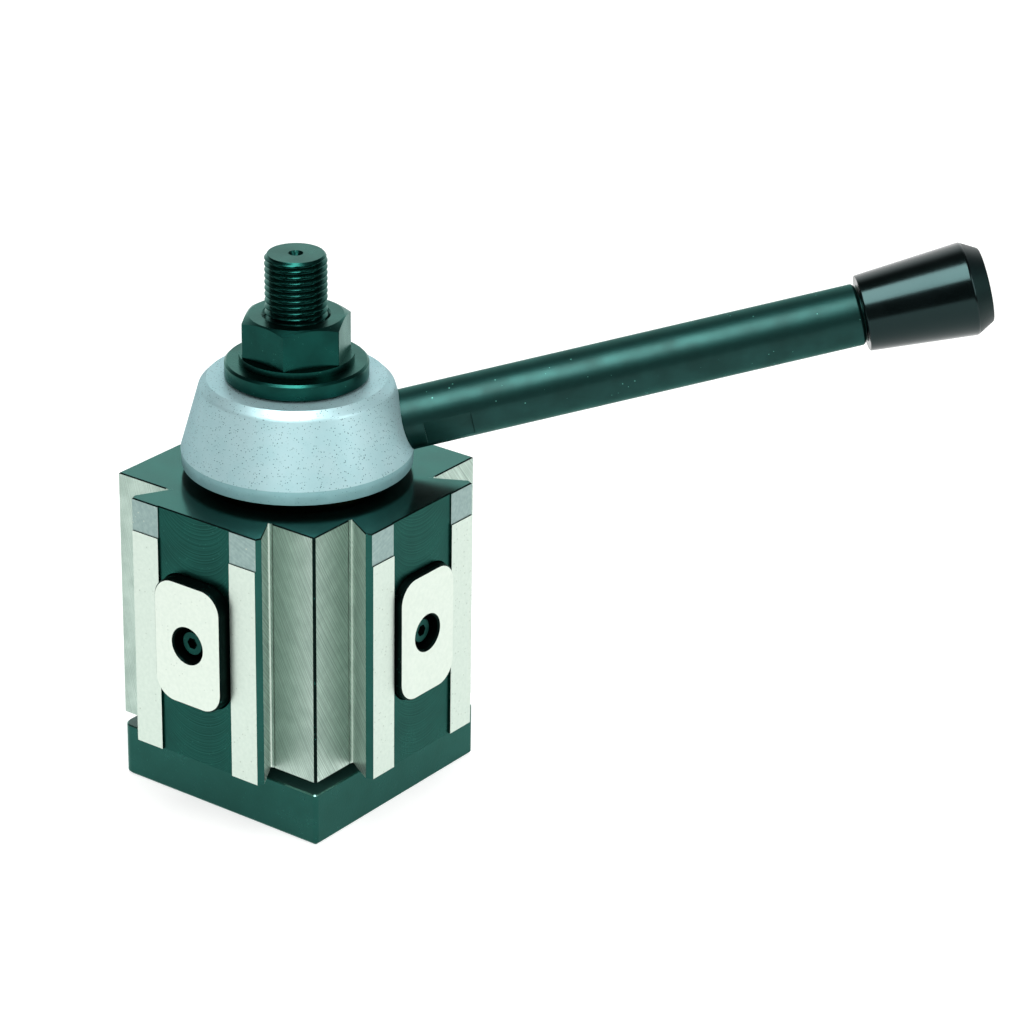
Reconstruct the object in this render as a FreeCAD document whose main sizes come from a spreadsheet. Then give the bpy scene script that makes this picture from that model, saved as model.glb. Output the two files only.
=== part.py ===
import FreeCAD, Part
import Sketcher
import math
import os
import re

# Quick-change lathe tool post, piston type. A block with two male dovetails at right
# angles stands on an integral base. A handle on the silver hub turns a spiral cam round the
# central sleeve, and the cam pushes two plungers, each with a clamp pad, out through the
# dovetails. A stud with a collar nut holds the post down.
# Frame: millimetres, +Z up, origin on the stud axis at the underside of the base.
# The left dovetail faces -Y and the right one faces +X, as in the photograph.

SIZES = {
    # block and base
    "body_height": 76.0,
    "base_height": 12.7,
    "slot_height": 3.3,
    "slot_depth": 5.6,
    "shoulder_reach": 27.2,
    "rear_reach": 29.4,
    "base_rear_lip": 1.0,
    "base_left_radius": 2.4,
    "base_right_radius": 1.0,
    "base_edge_chamfer": 0.6,
    # male dovetails
    "face_reach": 36.0,
    "face_half_width": 17.7,
    "tip_half_width": 18.4,
    "tip_depth": 1.6,
    "flank_angle": 30.0,
    "relief_width": 1.0,
    "relief_depth": 1.3,
    "lead_in_height": 7.8,
    "lead_in_depth": 0.25,
    "channel_half_width": 10.3,
    "channel_depth": 0.5,
    # clamp pads and their pockets
    "pad_centre_height": 46.0,
    "pad_width": 19.3,
    "pad_height": 30.0,
    "pad_thickness": 5.5,
    "pad_corner_radius": 5.5,
    "pad_edge_chamfer": 0.4,
    "pad_proud": 2.5,
    "pad_lag": 1.2,
    "pad_clearance": 0.35,
    "pocket_reach": 29.1,
    "screw_recess_diameter": 8.3,
    "screw_recess_depth": 4.2,
    "screw_diameter": 4.0,
    "screw_head_diameter": 6.0,
    "screw_head_height": 2.5,
    "screw_head_chamfer": 0.35,
    "screw_socket_across": 2.5,
    "screw_socket_depth": 1.4,
    "screw_length": 12.0,
    "screw_clearance": 0.2,
    # plungers and return springs
    "plunger_stem_diameter": 10.0,
    "plunger_head_diameter": 18.0,
    "plunger_head_thickness": 2.6,
    "plunger_nose_diameter": 6.0,
    "plunger_nose_length": 3.3,
    "nose_flat_radius": 0.02,
    "plunger_fit": 0.06,
    "spring_seat_reach": 26.1,
    "spring_gap": 4.0,
    "spring_wire": 0.9,
    "spring_mean_diameter": 14.0,
    "spring_turns": 2.5,
    "spring_clearance": 0.05,
    # cam and what it turns on
    "cavity_diameter": 36.0,
    "cavity_floor": 20.0,
    "sleeve_diameter": 20.0,
    "sleeve_flange_diameter": 30.0,
    "sleeve_flange_thickness": 4.0,
    "sleeve_foot_gap": 0.2,
    "sleeve_stand_up": 0.2,
    "cam_bore_fit": 0.05,
    "cam_journal_diameter": 24.0,
    "cam_lobe_height": 12.0,
    "cam_rise": 3.0,
    "cam_lock_turn": 15.0,
    "cam_release_turn": 45.0,
    "cam_gap": 0.08,
    "cam_return_turn": 60.0,
    "cam_disc_height": 11.0,
    "cam_disc_clearance": 0.3,
    "cam_disc_drop": 4.0,
    "cam_neck_diameter": 28.0,
    "hub_bore_fit": 0.03,
    "ring_section": 2.0,
    "ring_clearance": 0.05,
    "ring_groove_width": 2.4,
    "lower_washer_thickness": 1.5,
    "lower_washer_diameter": 32.0,
    # hub
    "hub_gap": 2.2,
    "hub_rim_radius": 26.0,
    "hub_band_radius": 26.15,
    "hub_band_height": 3.2,
    "hub_height": 20.0,
    "hub_top_radius": 21.9,
    "hub_shoulder_radius": 2.2,
    "hub_cone_drop": 1.7,
    "upper_washer_diameter": 42.0,
    "dowel_diameter": 3.0,
    "dowel_length": 14.0,
    "stop_pin_diameter": 3.0,
    "stop_pin_length": 10.0,
    "stop_pin_radius": 23.2,
    "stop_pin_angle": 160.0,
    "stop_pin_rise": 3.7,
    "stop_slot_clearance": 0.3,
    # handle
    "handle_angle": 42.4,
    "handle_tilt": 12.7,
    "handle_root_rise": 3.4,
    "handle_diameter": 14.0,
    "handle_spigot_diameter": 12.0,
    "handle_spigot_start": 16.0,
    "handle_shoulder_start": 19.2,
    "handle_end": 129.6,
    "handle_tail_diameter": 9.0,
    "handle_tail_length": 17.0,
    "handle_fit": 0.05,
    "flat_start": 28.7,
    "flat_length": 10.7,
    "flat_across": 12.5,
    "flat_turn": 17.7,
    "knob_gap": 0.4,
    "knob_length": 28.4,
    "knob_narrow_diameter": 17.3,
    "knob_wide_diameter": 21.3,
    "knob_end_diameter": 16.8,
    "knob_end_taper": 4.0,
    "knob_edge_chamfer": 0.5,
    "insert_diameter": 13.0,
    "insert_length": 18.0,
    # stud, washer and nut
    "stud_diameter": 14.0,
    "stud_foot_gap": 1.0,
    "stud_stand_out": 14.2,
    "stud_chamfer": 0.7,
    "stud_centre_diameter": 2.4,
    "stud_centre_angle": 60.0,
    "washer_diameter": 32.3,
    "washer_thickness": 4.0,
    "washer_chamfer": 0.5,
    "stud_clearance": 0.3,
    "nut_across_flats": 22.0,
    "nut_height": 10.8,
    "nut_collar_diameter": 25.8,
    "nut_collar_height": 1.7,
    "nut_chamfer_diameter": 21.2,
    "nut_chamfer_angle": 30.0,
    "nut_countersink": 0.7,
    "nut_turn": 57.0,
    "thread_fit": 0.05,
}

# Length by which a cutting shape runs past the face that it opens.
OVERCUT = 1.0

doc = FreeCAD.newDocument("lathe_tool_post")
dims = doc.addObject("Spreadsheet::Sheet", "dims")
for row, (alias, number) in enumerate(SIZES.items(), start=1):
    dims.set(f"A{row}", alias)
    dims.set(f"B{row}", str(number))
    dims.setAlias(f"B{row}", alias)
doc.recompute()

SHEET_NAMES = {alias: "dims." + alias for alias in SIZES}


def ref(expression):
    """The expression with every driving dimension written as a cell of the sheet."""
    return re.sub(r"[a-z]\w*", lambda word: SHEET_NAMES.get(word.group(), word.group()), expression)


def value(expression):
    """The number that an expression of driving dimensions comes to."""
    result = dims.evalExpression(ref(expression))
    return float(getattr(result, "Value", result))


# Heights and reaches that several pieces share.
SLOT_TOP = "(base_height + slot_height)"
CHANNEL_REACH = "(face_reach - channel_depth)"
ROOT_HALF_WIDTH = "(tip_half_width - (face_reach - tip_depth - shoulder_reach) * tan(flank_angle))"
HUB_BOTTOM = "(body_height + hub_gap)"
HUB_TOP = f"({HUB_BOTTOM} + hub_height)"
SLEEVE_TOP = f"({HUB_TOP} + sleeve_stand_up)"
CAM_BOTTOM = "(cavity_floor + lower_washer_thickness)"
CAM_BORE_RADIUS = "(sleeve_diameter / 2 + cam_bore_fit)"
WASHER_TOP = f"({SLEEVE_TOP} + washer_thickness)"
NUT_TOP = f"({WASHER_TOP} + nut_height)"
STUD_TOP = f"({NUT_TOP} + stud_stand_out)"
STUD_BORE_RADIUS = "(stud_diameter / 2 + stud_clearance)"
DISC_TOP = "(body_height - cam_disc_drop)"
DISC_MIDDLE = f"({DISC_TOP} - cam_disc_height / 2)"
HANDLE_ROOT = f"({HUB_BOTTOM} + handle_root_rise)"
KNOB_START = "(handle_end + knob_gap)"
PAD_BACK = "(face_reach + pad_proud - pad_thickness)"
NOSE_TIP = "(spring_seat_reach - spring_gap - plunger_head_thickness - plunger_nose_length)"


def bind(feature, **expressions):
    for name, expression in expressions.items():
        feature.setExpression(name, ref(expression))


def place(feature, x="0", y="0", z="0", yaw="0", pitch="0", roll="0"):
    """Bind where a piece stands and how it is turned: about Z, then its own Y, then its own X."""
    spot = f"create(<<vector>>; {ref(x)}; {ref(y)}; {ref(z)})"
    turn = f"create(<<rotation>>; {ref(yaw)}; {ref(pitch)}; {ref(roll)})"
    feature.setExpression("Placement", f"create(<<placement>>; {spot}; {turn})")


def body(label):
    made = doc.addObject("PartDesign::Body", label)
    made.Label = label
    return made


def plane(owner, role):
    return next(item for item in owner.Origin.OriginFeatures if item.Role == role)


def sketch(owner, name, role="XY_Plane", offset="0"):
    """A sketch on one of the body's own planes, moved along that plane's normal."""
    made = owner.newObject("Sketcher::SketchObject", name)
    made.AttachmentSupport = (plane(owner, role), [""])
    made.MapMode = "FlatFace"
    made.setExpression("AttachmentOffset.Base.z", ref(offset))
    return made


def pin_point(drawing, geometry, position, x, y):
    """Bind one point of a sketch to its distances from the sketch's origin."""
    for kind, expression in (("DistanceX", x), ("DistanceY", y)):
        number = drawing.addConstraint(
            Sketcher.Constraint(kind, -1, 1, geometry, position, value(expression)))
        drawing.setExpression(f"Constraints[{number}]", ref(expression))


def outline(drawing, points):
    """Closed polygon through points given as pairs of expressions."""
    spots = [FreeCAD.Vector(value(x), value(y), 0) for x, y in points]
    count = len(spots)
    first = drawing.GeometryCount
    for index in range(count):
        drawing.addGeometry(Part.LineSegment(spots[index], spots[(index + 1) % count]), False)
    for index in range(count):
        following = first + (index + 1) % count
        drawing.addConstraint(Sketcher.Constraint("Coincident", first + index, 2, following, 1))
    for index, (x, y) in enumerate(points):
        pin_point(drawing, first + index, 1, x, y)


def rectangle(drawing, left, right, low, high):
    outline(drawing, [(left, low), (right, low), (right, high), (left, high)])


def hexagon(drawing, across):
    """Regular hexagon round the sketch's origin, with two corners on its horizontal axis."""
    corner = f"({across}) / 2 / cos(30)"
    turns = [60 * index for index in range(6)]
    outline(drawing, [(f"{corner} * cos({turn})", f"{corner} * sin({turn})") for turn in turns])


def rounded_rectangle(drawing, middle, width, height, radius):
    """Upright rectangle with round corners, its centre on the sketch's vertical axis."""
    across = f"({width}) / 2 - ({radius})"
    above = f"({height}) / 2 - ({radius})"
    size = value(radius)
    corners = [(1, 1), (-1, 1), (-1, -1), (1, -1)]
    ends = []
    for index, (side, level) in enumerate(corners):
        centre = FreeCAD.Vector(side * value(across), value(middle) + level * value(above), 0)
        arc = Part.ArcOfCircle(Part.Circle(centre, FreeCAD.Vector(0, 0, 1), size),
                               index * math.pi / 2, (index + 1) * math.pi / 2)
        drawing.addGeometry(arc, False)
        pin_point(drawing, index, 3, f"{side} * ({across})", f"{middle} + {level} * ({above})")
        number = drawing.addConstraint(Sketcher.Constraint("Radius", index, size))
        drawing.setExpression(f"Constraints[{number}]", ref(radius))
        ends.append((arc.StartPoint, arc.EndPoint))
    for index in range(4):
        following = (index + 1) % 4
        side = drawing.addGeometry(Part.LineSegment(ends[index][1], ends[following][0]), False)
        drawing.addConstraint(Sketcher.Constraint("Tangent", index, 2, side, 1))
        drawing.addConstraint(Sketcher.Constraint("Tangent", side, 2, following, 1))


def circle(drawing, x, y, radius):
    spot = FreeCAD.Vector(value(x), value(y), 0)
    index = drawing.addGeometry(Part.Circle(spot, FreeCAD.Vector(0, 0, 1), value(radius)), False)
    pin_point(drawing, index, 3, x, y)
    number = drawing.addConstraint(Sketcher.Constraint("Radius", index, value(radius)))
    drawing.setExpression(f"Constraints[{number}]", ref(radius))


def pad(owner, name, drawing, length):
    made = owner.newObject("PartDesign::Pad", name)
    made.Profile = drawing
    bind(made, Length=length)
    return made


def pocket(owner, name, drawing, length, reverse=False):
    made = owner.newObject("PartDesign::Pocket", name)
    made.Profile = drawing
    made.Reversed = reverse
    bind(made, Length=length)
    return made


def turned(owner, name, points, role="XZ_Plane", axis_role="Z_Axis"):
    """A solid of revolution whose half profile is a polygon."""
    drawing = sketch(owner, name + "_profile", role)
    outline(drawing, points)
    made = owner.newObject("PartDesign::Revolution", name)
    made.Profile = drawing
    made.ReferenceAxis = (plane(owner, axis_role), [""])
    made.Angle = 360
    return made


def edges_where(shape, test):
    """Names of the edges whose middle and end points all pass a test."""
    names = []
    for number, edge in enumerate(shape.Edges, start=1):
        middle = (edge.FirstParameter + edge.LastParameter) / 2
        spots = [edge.valueAt(at) for at in (edge.FirstParameter, middle, edge.LastParameter)]
        if all(test(spot) for spot in spots):
            names.append(f"Edge{number}")
    return names


def soften(owner, name, kind, base, test, size):
    """Fillet or chamfer the edges of a feature that pass a test."""
    doc.recompute()
    names = edges_where(base.Shape, test)
    made = owner.newObject("PartDesign::" + kind, name)
    made.Base = (base, names)
    bind(made, **{"Radius" if kind == "Fillet" else "Size": size})
    return made


def near(number, expression, slack=0.01):
    return abs(number - value(expression)) < slack


def make_post_body():
    """The block with its base: square body, two dovetails, cavity for the cam."""
    post = body("post_body")

    plan = sketch(post, "block_plan")
    rectangle(plan, "-rear_reach", "shoulder_reach", "-shoulder_reach", "rear_reach")
    pad(post, "block", plan, "body_height")
    base = sketch(post, "base_plan")
    rectangle(base, "-rear_reach - base_rear_lip", "shoulder_reach",
              "-shoulder_reach", "rear_reach + base_rear_lip")
    pad(post, "base", base, "base_height")

    # One dovetail is drawn on the left face; a pattern repeats it on the right face.
    slot = sketch(post, "slot_plan", offset="base_height")
    rectangle(slot, "-2 * rear_reach", "2 * rear_reach",
              "-2 * shoulder_reach", "slot_depth - shoulder_reach")
    slot_cut = pocket(post, "slot", slot, "slot_height", reverse=True)

    half_outline = [
        (ROOT_HALF_WIDTH, "slot_depth - shoulder_reach"),
        (ROOT_HALF_WIDTH, "-shoulder_reach"),
        ("tip_half_width", "tip_depth - face_reach"),
        ("face_half_width", "-face_reach"),
    ]
    mirrored = [(f"-{x}", y) for x, y in reversed(half_outline)]
    dovetail = sketch(post, "dovetail_plan", offset=SLOT_TOP)
    outline(dovetail, half_outline + mirrored)
    dovetail_pad = pad(post, "dovetail", dovetail, f"body_height - {SLOT_TOP}")

    channel = sketch(post, "channel_plan", offset=SLOT_TOP)
    rectangle(channel, "-channel_half_width", "channel_half_width",
              f"-face_reach - {OVERCUT}", f"-{CHANNEL_REACH}")
    channel_cut = pocket(post, "channel", channel, f"body_height - {SLOT_TOP} + {OVERCUT}", reverse=True)

    # Grinding relief: a narrow slot that carries each flank on into the block.
    relief_cuts = []
    for name, side in (("right", ""), ("left", "-")):
        corners = [
            (f"{ROOT_HALF_WIDTH} + relief_width * sin(flank_angle) * tan(flank_angle)",
             "-shoulder_reach - relief_width * sin(flank_angle)"),
            (f"{ROOT_HALF_WIDTH} - relief_depth * sin(flank_angle)",
             "-shoulder_reach + relief_depth * cos(flank_angle)"),
            (f"{ROOT_HALF_WIDTH} - relief_depth * sin(flank_angle) + relief_width",
             "-shoulder_reach + relief_depth * cos(flank_angle)"),
            (f"{ROOT_HALF_WIDTH} + relief_width", "-shoulder_reach"),
            (f"{ROOT_HALF_WIDTH} + relief_width", "-shoulder_reach - relief_width * sin(flank_angle)"),
        ]
        relief = sketch(post, f"relief_{name}_plan", offset=SLOT_TOP)
        outline(relief, [(f"{side}({x})", y) for x, y in corners])
        relief_cuts.append(
            pocket(post, f"relief_{name}", relief, f"body_height - {SLOT_TOP} + {OVERCUT}", reverse=True))

    lead_in = sketch(post, "lead_in_plan", offset="body_height - lead_in_height")
    rectangle(lead_in, f"-tip_half_width - {OVERCUT}", f"tip_half_width + {OVERCUT}",
              f"-face_reach - {OVERCUT}", "lead_in_depth - face_reach")
    lead_in_cut = pocket(post, "lead_in", lead_in, f"lead_in_height + {OVERCUT}", reverse=True)

    pad_pocket = sketch(post, "pad_pocket_outline", "XZ_Plane", CHANNEL_REACH)
    rounded_rectangle(pad_pocket, "pad_centre_height", "pad_width + 2 * pad_clearance",
                      "pad_height + 2 * pad_clearance", "pad_corner_radius + pad_clearance")
    pad_pocket_cut = pocket(post, "pad_pocket", pad_pocket, f"{CHANNEL_REACH} - pocket_reach")

    stem_hole = sketch(post, "stem_hole_outline", "XZ_Plane", "pocket_reach")
    circle(stem_hole, "0", "pad_centre_height", "plunger_stem_diameter / 2 + plunger_fit")
    stem_hole_cut = pocket(post, "stem_hole", stem_hole, "pocket_reach")

    plunger_bore = sketch(post, "plunger_bore_outline", "XZ_Plane", "spring_seat_reach")
    circle(plunger_bore, "0", "pad_centre_height", "plunger_head_diameter / 2 + plunger_fit")
    plunger_bore_cut = pocket(post, "plunger_bore", plunger_bore, "spring_seat_reach")

    pattern = post.newObject("PartDesign::PolarPattern", "both_faces")
    pattern.Originals = [slot_cut, dovetail_pad, channel_cut, *relief_cuts, lead_in_cut,
                         pad_pocket_cut, stem_hole_cut, plunger_bore_cut]
    pattern.Axis = (plane(post, "Z_Axis"), [""])
    pattern.Angle = 90
    pattern.Occurrences = 2
    post.Tip = pattern

    cavity = sketch(post, "cavity_plan", offset="cavity_floor")
    circle(cavity, "0", "0", "cavity_diameter / 2")
    pocket(post, "cam_cavity", cavity, f"body_height - cavity_floor + {OVERCUT}", reverse=True)

    sleeve_bore = sketch(post, "sleeve_bore_plan")
    circle(sleeve_bore, "0", "0", "sleeve_diameter / 2")
    pocket(post, "sleeve_bore", sleeve_bore, f"cavity_floor + {OVERCUT}", reverse=True)

    flange_seat = sketch(post, "flange_seat_plan")
    circle(flange_seat, "0", "0", "sleeve_flange_diameter / 2")
    pocket(post, "flange_seat", flange_seat, "sleeve_foot_gap + sleeve_flange_thickness", reverse=True)

    pin_hole = sketch(post, "stop_pin_plan", offset="body_height - (stop_pin_length - stop_pin_rise)")
    circle(pin_hole, "stop_pin_radius * cos(stop_pin_angle)", "stop_pin_radius * sin(stop_pin_angle)",
           "stop_pin_diameter / 2")
    last = pocket(post, "stop_pin_hole", pin_hole, "stop_pin_length", reverse=True)

    def corner_at(spot, x, y):
        return near(spot.x, x) and near(spot.y, y) and spot.z < value("base_height") + 0.01

    def left_corner(spot):
        return corner_at(spot, "-rear_reach - base_rear_lip", "-shoulder_reach")

    def right_corner(spot):
        front = corner_at(spot, "shoulder_reach", "-shoulder_reach")
        return front or corner_at(spot, "shoulder_reach", "rear_reach + base_rear_lip")

    def bottom_outline(spot):
        reach = max(-spot.x / value("rear_reach"), spot.x / value("shoulder_reach"),
                    -spot.y / value("shoulder_reach"), spot.y / value("rear_reach"))
        return near(spot.z, "0") and reach > 0.9

    last = soften(post, "base_left_corner", "Fillet", last, left_corner, "base_left_radius")
    last = soften(post, "base_right_corners", "Fillet", last, right_corner, "base_right_radius")
    soften(post, "base_edge", "Chamfer", last, bottom_outline, "base_edge_chamfer")
    return post


def make_center_sleeve():
    """Flanged tube pressed into the base; the clamping nut bears on its top."""
    sleeve = body("center_sleeve")
    inner, outer, flange = STUD_BORE_RADIUS, "sleeve_diameter / 2", "sleeve_flange_diameter / 2"
    flange_top = "sleeve_foot_gap + sleeve_flange_thickness"
    turned(sleeve, "tube", [
        (inner, "sleeve_foot_gap"), (flange, "sleeve_foot_gap"), (flange, flange_top),
        (outer, flange_top), (outer, SLEEVE_TOP), (inner, SLEEVE_TOP),
    ])
    return sleeve


def ring(label, bore_radius, outer_radius, bottom, thickness, bevel=None):
    """A flat washer, with its outer edges bevelled where a bevel is given."""
    washer = body(label)
    top = f"{bottom} + {thickness}"
    if bevel is None:
        points = [(bore_radius, bottom), (outer_radius, bottom), (outer_radius, top), (bore_radius, top)]
    else:
        points = [
            (bore_radius, bottom), (f"{outer_radius} - {bevel}", bottom),
            (outer_radius, f"{bottom} + {bevel}"), (outer_radius, f"{top} - {bevel}"),
            (f"{outer_radius} - {bevel}", top), (bore_radius, top),
        ]
    turned(washer, "ring", points)
    return washer


def nose_path(angle):
    """Reach of a plunger nose's centre from the stud axis, by angle round the cam in degrees.

    It rises evenly over each working arc, the right one lower by pad_lag, and eases between
    them, so both plungers move out at one constant rate as the handle turns.
    """
    nose = value("plunger_nose_diameter / 2")
    rate = value("cam_rise")
    lock, release = value("cam_lock_turn"), value("cam_release_turn")
    reach = value(NOSE_TIP) + nose
    left_low = reach - rate * math.radians(release)
    left_high = reach + rate * math.radians(lock)
    lag = value("pad_lag")
    stations = [
        (-90 - release, left_low, rate),
        (-90 + lock, left_high, rate),
        (-release, left_low - lag, rate),
        (lock, left_high - lag, rate),
        (lock + value("cam_return_turn"), left_low, 0),
        (270 - release, left_low, rate),
    ]
    angle = (angle + 90 + release) % 360 - 90 - release
    for (start, low, low_rate), (end, high, high_rate) in zip(stations, stations[1:]):
        if start <= angle <= end:
            break
    # Two parabolas that meet halfway with the same slope; one straight line on a working arc.
    span, travelled, ahead = (math.radians(turn) for turn in (end - start, angle - start, end - angle))
    middle_rate = 2 * (high - low) / span - (low_rate + high_rate) / 2
    if travelled < ahead:
        return low + low_rate * travelled + (middle_rate - low_rate) / span * travelled**2
    return high - high_rate * ahead - (middle_rate - high_rate) / span * ahead**2


def cam_outline():
    """Points of the cam: the path of the nose's centre, moved in by the nose's radius."""
    inset = value("plunger_nose_diameter / 2 + cam_gap")
    points = []
    for angle in range(-180, 180, 6):
        reach = nose_path(angle)
        slope = (nose_path(angle + 0.1) - nose_path(angle - 0.1)) / math.radians(0.2)
        length = math.hypot(reach, slope)
        outward, along = reach - inset * reach / length, inset * slope / length
        turn = math.radians(angle)
        points.append(FreeCAD.Vector(outward * math.cos(turn) - along * math.sin(turn),
                                     outward * math.sin(turn) + along * math.cos(turn), 0))
    return points


def make_cam_sleeve(dowel_pins):
    """The part that turns inside the block: journal, spiral cam, sealing disc and neck."""
    curve = Part.BSplineCurve()
    curve.interpolate(Points=cam_outline(), PeriodicFlag=True)
    bore = Part.makeCircle(value(CAM_BORE_RADIUS))
    bottom = value("pad_centre_height - cam_lobe_height / 2")
    lobe = doc.addObject("Part::Feature", "cam_lobe")
    face = Part.makeFace([Part.Wire(curve.toShape()), Part.Wire(bore)], "Part::FaceMakerBullseye")
    lobe.Shape = face.extrude(FreeCAD.Vector(0, 0, value("cam_lobe_height")))
    lobe.Placement.Base.z = bottom

    core = body("cam_core")
    journal, neck = "cam_journal_diameter / 2", "cam_neck_diameter / 2"
    disc = "cavity_diameter / 2 - cam_disc_clearance"
    disc_bottom = f"{DISC_TOP} - cam_disc_height"
    groove_floor = "cavity_diameter / 2 - ring_section - ring_clearance"
    turned(core, "core", [
        (CAM_BORE_RADIUS, CAM_BOTTOM), (journal, CAM_BOTTOM), (journal, disc_bottom), (disc, disc_bottom),
        (disc, f"{DISC_MIDDLE} - ring_groove_width / 2"),
        (groove_floor, f"{DISC_MIDDLE} - ring_groove_width / 2"),
        (groove_floor, f"{DISC_MIDDLE} + ring_groove_width / 2"),
        (disc, f"{DISC_MIDDLE} + ring_groove_width / 2"),
        (disc, DISC_TOP), (neck, DISC_TOP), (neck, HUB_TOP), (CAM_BORE_RADIUS, HUB_TOP),
    ])
    whole = doc.addObject("Part::MultiFuse", "cam_blank")
    whole.Shapes = [core, lobe]
    return cut("cam_sleeve", whole, dowel_pins)


def cut(label, base, tool):
    made = doc.addObject("Part::Cut", label)
    made.Label = label
    made.Base = base
    made.Tool = tool
    return made


def cylinder(name, radius, height):
    made = doc.addObject("Part::Cylinder", name)
    bind(made, Radius=radius, Height=height)
    return made


def make_dowel(number):
    """Round key across the joint between the cam's neck and the hub."""
    pin = cylinder(f"hub_dowel_{number}", "dowel_diameter / 2", "dowel_length")
    pin.Label = f"hub_dowel_{number}"
    angle = f"(handle_angle - 60 + 120 * {number})"
    place(pin, f"cam_neck_diameter / 2 * cos({angle})", f"cam_neck_diameter / 2 * sin({angle})",
          f"{HUB_TOP} - dowel_length")
    return pin


def make_seal_ring():
    """Square rubber ring in the cam's disc that keeps chips out of the cavity."""
    seal = body("neck_seal_ring")
    outer = "cavity_diameter / 2 - ring_clearance"
    low, high = f"{DISC_MIDDLE} - ring_section / 2", f"{DISC_MIDDLE} + ring_section / 2"
    inner = f"{outer} - ring_section"
    turned(seal, "ring", [(inner, low), (outer, low), (outer, high), (inner, high)])
    return seal


def make_hub(dowel_pins):
    """Conical hub. It is drawn with its handle hole towards +X, then turned to the handle's angle."""
    blank = body("hub_blank")
    bore = "cam_neck_diameter / 2 + hub_bore_fit"
    band_top = f"{HUB_BOTTOM} + hub_band_height"
    shape = turned(blank, "cone", [
        (bore, HUB_BOTTOM), ("hub_rim_radius", HUB_BOTTOM), ("hub_band_radius", band_top),
        ("hub_top_radius", f"{HUB_TOP} - hub_cone_drop"), ("hub_top_radius - hub_cone_drop", HUB_TOP),
        (bore, HUB_TOP),
    ])

    def shoulder(spot):
        reach = math.hypot(spot.x, spot.y)
        return near(reach, "hub_top_radius") and near(spot.z, f"{HUB_TOP} - hub_cone_drop")

    shape = soften(blank, "shoulder", "Fillet", shape, shoulder, "hub_shoulder_radius")

    # Arc slot for the stop pin, as long as the handle's travel.
    slot = sketch(blank, "stop_slot_profile", "XZ_Plane")
    about_y = FreeCAD.Rotation(FreeCAD.Vector(0, 1, 0), 1)
    slot.AttachmentOffset = FreeCAD.Placement(FreeCAD.Vector(), about_y)
    slot.setExpression("AttachmentOffset.Rotation.Angle", ref(
        "stop_pin_angle - handle_angle + (cam_lock_turn - cam_release_turn) / 2"))
    half_width = "(stop_pin_diameter / 2 + stop_slot_clearance)"
    rectangle(slot, f"stop_pin_radius - {half_width}", f"stop_pin_radius + {half_width}",
              f"{HUB_BOTTOM} - {OVERCUT}", "body_height + stop_pin_rise + stop_slot_clearance")
    groove = blank.newObject("PartDesign::Groove", "stop_slot")
    groove.Profile = slot
    groove.ReferenceAxis = (plane(blank, "Z_Axis"), [""])
    groove.Midplane = True
    pin_share = f"2 * asin({half_width} / stop_pin_radius) / 1 deg"
    bind(groove, Angle=f"cam_lock_turn + cam_release_turn + {pin_share}")

    spigot_hole = cylinder("hub_spigot_hole", "handle_spigot_diameter / 2 + handle_fit",
                           "2 * hub_rim_radius")
    place(spigot_hole, "(handle_spigot_start - handle_fit) * cos(handle_tilt)", "0",
          f"{HANDLE_ROOT} + (handle_spigot_start - handle_fit) * sin(handle_tilt)",
          pitch="90 - handle_tilt")
    bar_hole = cylinder("hub_bar_hole", "handle_diameter / 2 + handle_fit", "2 * hub_rim_radius")
    place(bar_hole, "(handle_shoulder_start - handle_fit) * cos(handle_tilt)", "0",
          f"{HANDLE_ROOT} + (handle_shoulder_start - handle_fit) * sin(handle_tilt)",
          pitch="90 - handle_tilt")
    drilled = cut("hub_drilled", cut("hub_bored", blank, spigot_hole), bar_hole)
    place(drilled, yaw="handle_angle")
    return cut("hub", drilled, dowel_pins)


def set_along_handle(piece):
    """Place a piece drawn along +X so that it lies on the handle's axis."""
    place(piece, z=HANDLE_ROOT, yaw="handle_angle", pitch="-handle_tilt", roll="flat_turn")


def make_handle_bar():
    bar = body("handle_bar")
    spigot, full, tail = "handle_spigot_diameter / 2", "handle_diameter / 2", "handle_tail_diameter / 2"
    tail_end = "handle_end + handle_tail_length"
    turned(bar, "bar", [
        ("handle_spigot_start", "0"), ("handle_spigot_start", f"{spigot} - stud_chamfer"),
        ("handle_spigot_start + stud_chamfer", spigot), ("handle_shoulder_start", spigot),
        ("handle_shoulder_start", full), ("handle_end - stud_chamfer", full),
        ("handle_end", f"{full} - stud_chamfer"), ("handle_end", tail), (tail_end, tail), (tail_end, "0"),
    ], axis_role="X_Axis")
    flat = sketch(bar, "flat_outline", "XZ_Plane", "flat_across / 2")
    rectangle(flat, "flat_start", "flat_start + flat_length", "-handle_diameter", "handle_diameter")
    flat_cut = pocket(bar, "flat", flat, "handle_diameter", reverse=True)
    both = bar.newObject("PartDesign::Mirrored", "both_flats")
    both.Originals = [flat_cut]
    both.MirrorPlane = (plane(bar, "XZ_Plane"), [""])
    bar.Tip = both
    set_along_handle(bar)
    return bar


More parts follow.
